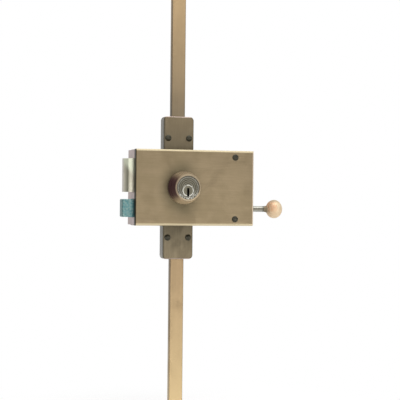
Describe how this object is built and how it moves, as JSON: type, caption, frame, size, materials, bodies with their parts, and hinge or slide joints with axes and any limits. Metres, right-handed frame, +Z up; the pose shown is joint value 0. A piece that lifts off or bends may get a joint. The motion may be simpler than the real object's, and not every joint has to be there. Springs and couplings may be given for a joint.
{
  "type": "multipoint door lock",
  "caption": "Surface-mounted door lock: flat case with key cylinder, spring latch, deadbolt, pull knob and two long rods that lock the door's top and bottom.",
  "frame": {"origin": "on the door's face at the key cylinder's axis, the mouth of the base plate's bore", "axes": "+X along the case towards the pull knob, +Y into the door, +Z up along the rods; the room is at -Y"},
  "size_m": [0.202, 0.052, 0.52],
  "materials": {
    "bronze_lacquered_steel": "satin bronze lacquer over brushed sheet steel",
    "bronze_guides": "darker satin bronze lacquer",
    "bronze_collar": "turned and bronze lacquered, bright on its lower side",
    "bronze_rods": "pale bronze lacquer, drawn flat bar",
    "nickel_plated_steel": "satin nickel with a pink-grey tint",
    "nickel_plated_brass": "satin nickel, turned in rings",
    "zinc_plated_steel": "zinc plated sheet",
    "bright_steel": "machined steel",
    "gear_steel": "hobbed steel, oiled",
    "spring_steel": "spring wire",
    "dark_screws": "dark bronzed steel",
    "green_bolt_steel": "mottled blue-green passivated steel",
    "cream_latch_steel": "pale cream passivated steel",
    "peach_brass": "polished knob, warm on top and pale below",
    "brass": "machined brass"
  },
  "bodies": {
    "case": {"base_plate": "zinc_plated_steel", "faceplate": "nickel_plated_steel", "faceplate_rivets": "nickel_plated_steel", "cover": "bronze_lacquered_steel", "cover_posts": "bright_steel", "cover_screws": "dark_screws", "upper_rod_guide": "bronze_guides", "lower_rod_guide": "bronze_guides", "guide_posts": "bright_steel", "guide_screws": "dark_screws", "cylinder_body": "nickel_plated_brass", "cylinder_collar": "bronze_collar", "cylinder_nut": "bright_steel", "driver_pins": "brass", "pin_springs": "spring_steel", "chamber_plugs": "brass", "wheel_pivot": "bright_steel", "wheel_circlip": "spring_steel", "bolt_guide_pin": "bright_steel", "latch_guide_pin": "bright_steel", "stem_bush": "brass", "latch_spring": "spring_steel"},
    "key_plug": {"cylinder_plug": "nickel_plated_brass", "key_pins": "brass", "plug_circlip": "spring_steel", "driver_pinion": "gear_steel", "driver_cross_pin": "bright_steel"},
    "wheel": {"transfer_wheel": "gear_steel", "rod_pinion": "gear_steel", "bolt_pinion": "gear_steel"},
    "deadbolt": {"deadbolt_head": "green_bolt_steel", "deadbolt_tail": "zinc_plated_steel", "deadbolt_rivets": "bright_steel"},
    "upper_rod": {"upper_rod": "bronze_rods", "upper_rack": "zinc_plated_steel", "upper_rod_rivets": "bright_steel"},
    "lower_rod": {"lower_rod": "bronze_rods", "lower_rack": "zinc_plated_steel", "lower_rod_rivets": "bright_steel"},
    "latch": {"latch_bolt": "cream_latch_steel", "latch_slide": "zinc_plated_steel", "latch_rivets": "bright_steel", "pull_stem": "bright_steel", "pull_knob": "peach_brass"}
  },
  "joints": [
    {"name": "key_turn", "type": "hinge", "parent": "case", "child": "key_plug", "pos_m": [0, 0, -0.0035], "axis": [0, 1, 0], "range_deg": [0, 360]},
    {"name": "wheel_turn", "type": "hinge", "parent": "case", "child": "wheel", "pos_m": [0, 0, -0.0245], "axis": [0, 1, 0], "range_deg": [-144, 0]},
    {"name": "deadbolt_slide", "type": "slide", "parent": "case", "child": "deadbolt", "axis": [1, 0, 0], "range_m": [0, 0.01508]},
    {"name": "upper_rod_slide", "type": "slide", "parent": "case", "child": "upper_rod", "axis": [0, 0, -1], "range_m": [0, 0.01508]},
    {"name": "lower_rod_slide", "type": "slide", "parent": "case", "child": "lower_rod", "axis": [0, 0, 1], "range_m": [0, 0.01508]},
    {"name": "latch_slide", "type": "slide", "parent": "case", "child": "latch", "axis": [1, 0, 0], "range_m": [0, 0.0115], "stiffness_N_per_m": 300, "springref_m": -0.01, "deforming": ["latch_spring"]}
  ],
  "couplings": [
    {"joint": "wheel_turn", "follows": "upper_rod_slide", "rad_per_m": -166.67},
    {"joint": "key_turn", "follows": "upper_rod_slide", "rad_per_m": 416.67},
    {"joint": "deadbolt_slide", "follows": "upper_rod_slide", "ratio": 1},
    {"joint": "lower_rod_slide", "follows": "upper_rod_slide", "ratio": 1}
  ]
}
